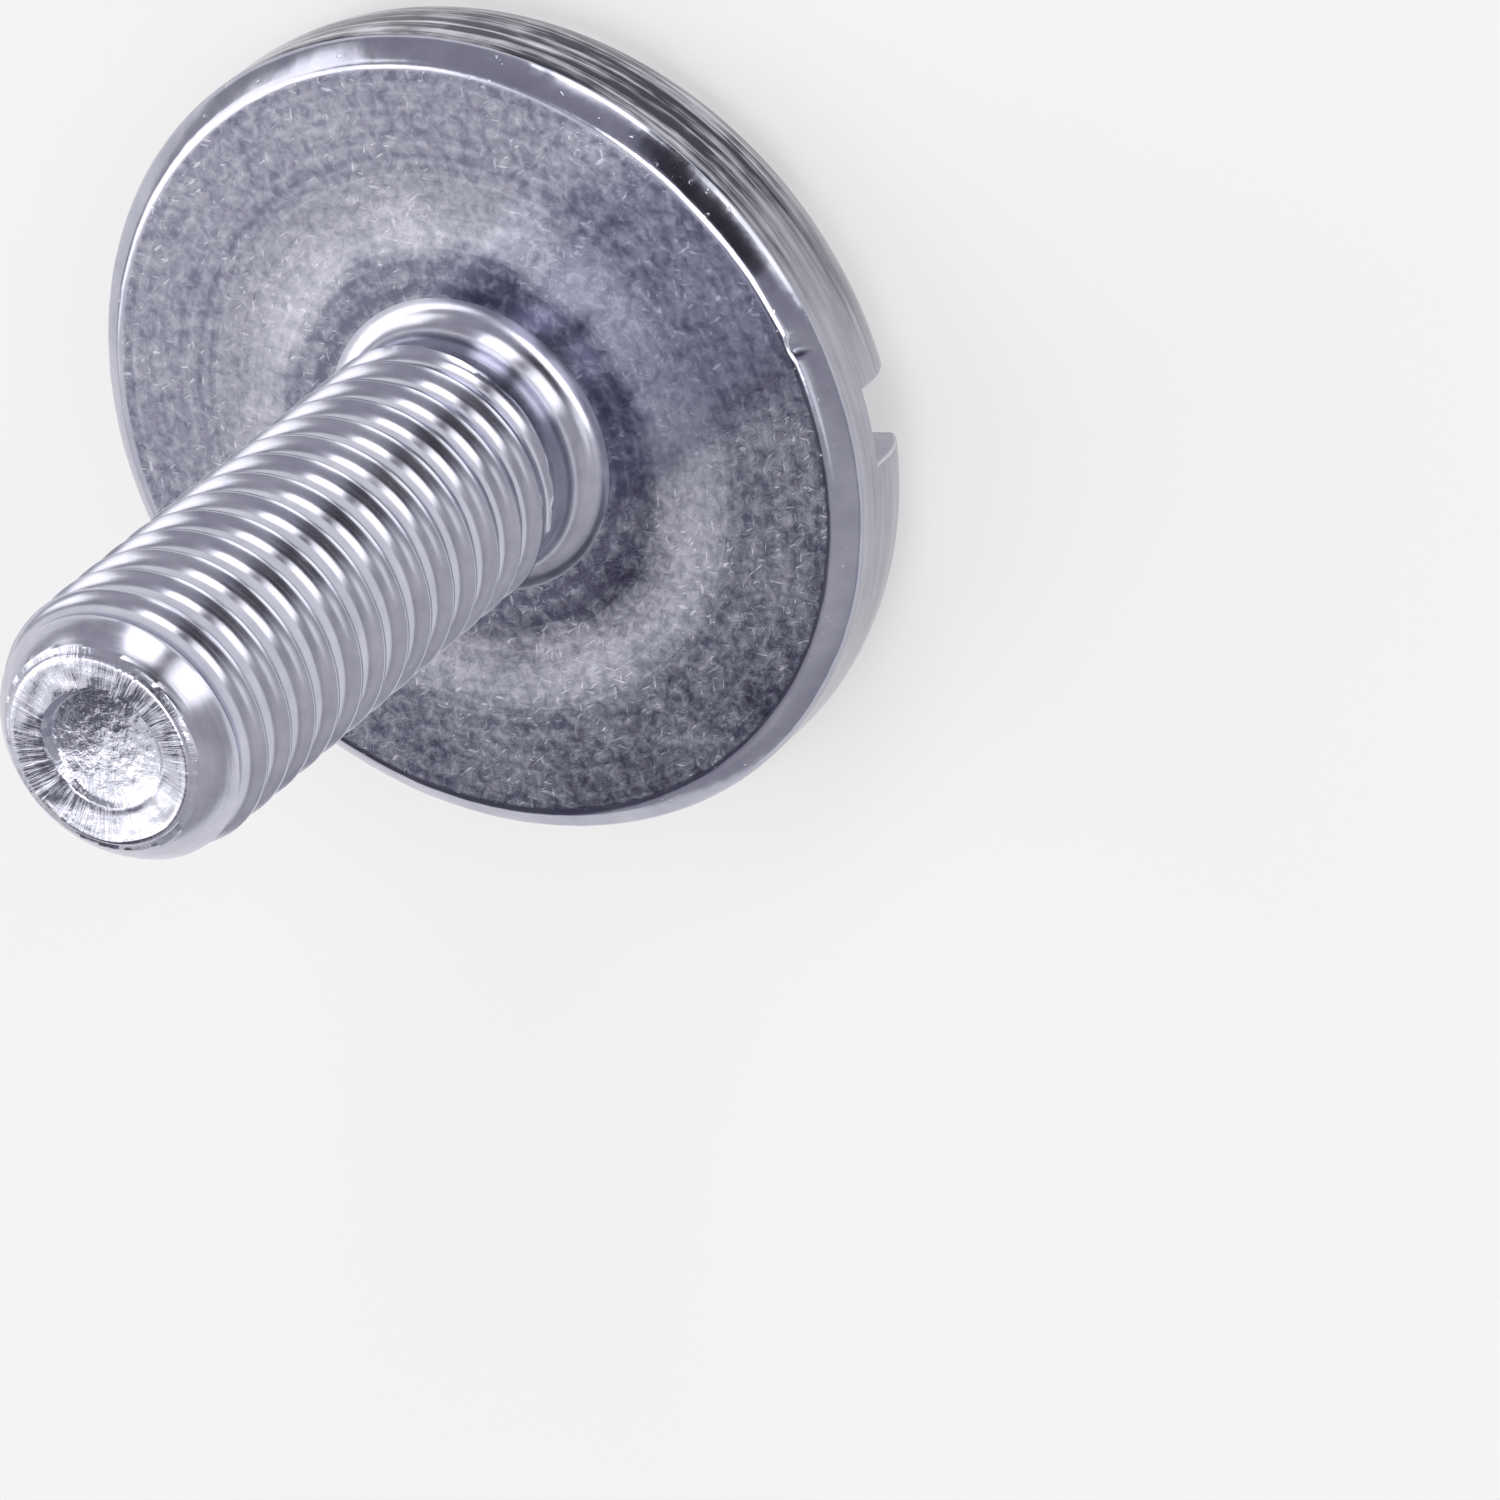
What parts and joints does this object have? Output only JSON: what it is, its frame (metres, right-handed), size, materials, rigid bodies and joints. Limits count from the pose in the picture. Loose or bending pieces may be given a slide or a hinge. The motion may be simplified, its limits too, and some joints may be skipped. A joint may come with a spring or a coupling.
{
  "type": "slotted large flat head screw",
  "caption": "Zinc-plated machine screw with a wide flat slotted head, flat bearing face, filleted neck, right-hand metric thread and cupped rolled tip.",
  "frame": {"origin": "centre of the slotted face, on which the screw stands", "axes": "+Z along the screw's axis from the slotted face to the tip, +X along the driver slot"},
  "size_m": [0.0244, 0.0244, 0.0238],
  "materials": {
    "zinc_plated_steel": "bright zinc plating with fine scratches"
  },
  "bodies": {
    "root": {"screw": "zinc_plated_steel"}
  },
  "joints": []
}
